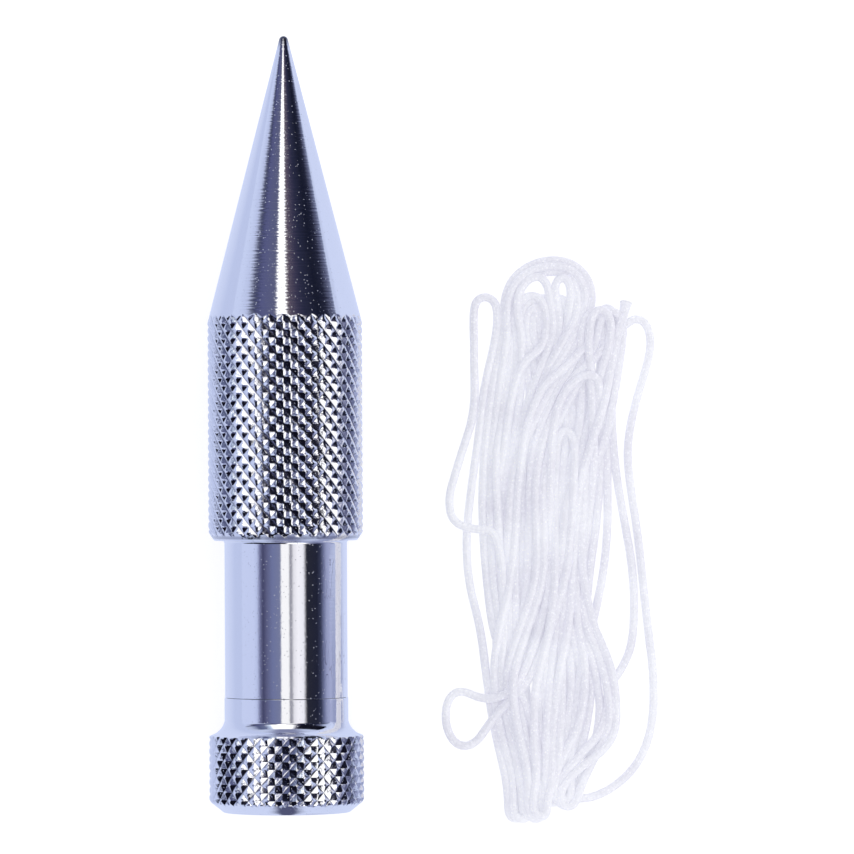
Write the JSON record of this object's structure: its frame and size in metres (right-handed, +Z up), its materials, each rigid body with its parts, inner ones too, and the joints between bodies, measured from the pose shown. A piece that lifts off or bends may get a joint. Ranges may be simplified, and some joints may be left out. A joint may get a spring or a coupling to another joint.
{
  "type": "plumb bob",
  "caption": "Turned and chromed plumb bob: long cone, knurled barrel, plain neck and a knurled screw cap with a line hole, beside a loose hank of braided line.",
  "frame": {"origin": "on the table, under the middle of the bob's length and under its axis; the line is left out of this", "axes": "+Y along the bob's axis towards its point, +Z up from the table, +X across the table towards the hank of line"},
  "size_m": [0.0736, 0.1292, 0.0253],
  "materials": {
    "chromed_steel": "bright chromium plate over turned steel, fine turning rings",
    "chromed_steel_cap": "bright chromium plate over turned and knurled steel",
    "braided_line": "white braided nylon line"
  },
  "bodies": {
    "bob": {"bob_body": "chromed_steel"},
    "cap": {"screw_cap": "chromed_steel_cap"},
    "line": {"line_hank": "braided_line", "line_right_loop": "braided_line", "line_right_strand": "braided_line", "line_left_strand": "braided_line", "line_lower_left_loop": "braided_line"}
  },
  "joints": [
    {"name": "cap_unscrew", "type": "slide", "parent": "bob", "child": "cap", "axis": [0, -1, 0], "range_m": [0, 0.014]},
    {"name": "line_lift", "type": "slide", "parent": "bob", "child": "line", "axis": [0, 0, 1], "range_m": [0, 0.06]}
  ]
}
